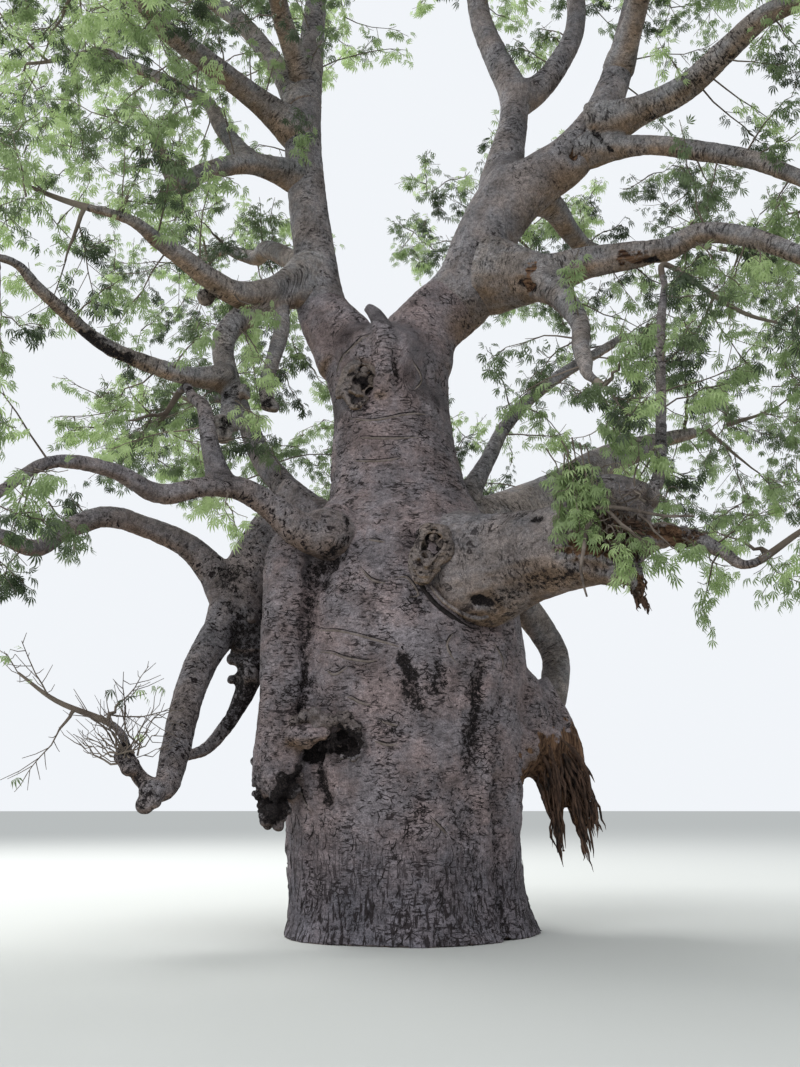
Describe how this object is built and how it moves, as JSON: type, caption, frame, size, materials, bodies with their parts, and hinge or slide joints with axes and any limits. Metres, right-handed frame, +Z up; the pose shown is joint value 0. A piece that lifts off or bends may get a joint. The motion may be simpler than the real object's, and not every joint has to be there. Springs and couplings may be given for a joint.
{
  "type": "baobab tree",
  "caption": "Large baobab tree: a stout bottle-shaped trunk forking into leaders, heavy kinked boughs, and an open crown of hand-shaped leaves.",
  "frame": {"origin": "the middle of the flat cut under the trunk, at ground level", "axes": "+Z up; the front of the tree, with the broken bough, faces -Y; +X is to its right"},
  "size_m": [18.816, 14.9507, 19.7962],
  "materials": {
    "bark": "grey, folded and pitted",
    "young_bark": "grey-brown, finely wrinkled",
    "leaf": "soft green leaf"
  },
  "bodies": {
    "root": {"back_east_arm": "young_bark", "back_east_arm_foliage": "leaf", "back_east_bough": "bark", "back_east_bough_foliage": "leaf", "back_west_bough": "young_bark", "back_west_bough_foliage": "leaf", "burled_limb": "young_bark", "drooping_west_limb": "bark", "drooping_west_limb_foliage": "leaf", "east_leader": "bark", "east_leader_foliage": "leaf", "east_upright": "young_bark", "east_upright_foliage": "leaf", "far_east_bough": "young_bark", "far_east_bough_foliage": "leaf", "great_east_bough": "bark", "great_east_bough_foliage": "leaf", "hanging_east_limb": "young_bark", "hanging_east_limb_foliage": "leaf", "hanging_west_limb": "young_bark", "high_west_bough": "young_bark", "high_west_bough_foliage": "leaf", "inner_east_limb": "young_bark", "inner_east_limb_foliage": "leaf", "kinked_west_bough": "young_bark", "level_east_bough": "young_bark", "level_east_bough_foliage": "leaf", "looping_east_limb": "young_bark", "low_west_bough": "young_bark", "low_west_bough_foliage": "leaf", "mid_east_bough": "bark", "mid_east_bough_foliage": "leaf", "mid_west_bough": "young_bark", "mid_west_bough_foliage": "leaf", "middle_east_fork": "young_bark", "middle_leader": "bark", "middle_leader_foliage": "leaf", "north_bough": "bark", "north_bough_foliage": "leaf", "north_high_bough": "young_bark", "north_high_bough_foliage": "leaf", "north_west_bough": "young_bark", "north_west_bough_foliage": "leaf", "reaching_west_arm": "young_bark", "reaching_west_arm_foliage": "leaf", "rising_west_bough": "young_bark", "rising_west_bough_foliage": "leaf", "south_east_bough": "young_bark", "south_east_bough_foliage": "leaf", "south_west_bough": "young_bark", "south_west_bough_foliage": "leaf", "trunk": "bark", "upper_west_arm": "young_bark", "upper_west_arm_foliage": "leaf", "west_bough": "bark", "west_bough_foliage": "leaf", "west_leader": "bark", "west_leader_foliage": "leaf", "west_upright": "young_bark", "west_upright_foliage": "leaf"}
  },
  "joints": []
}
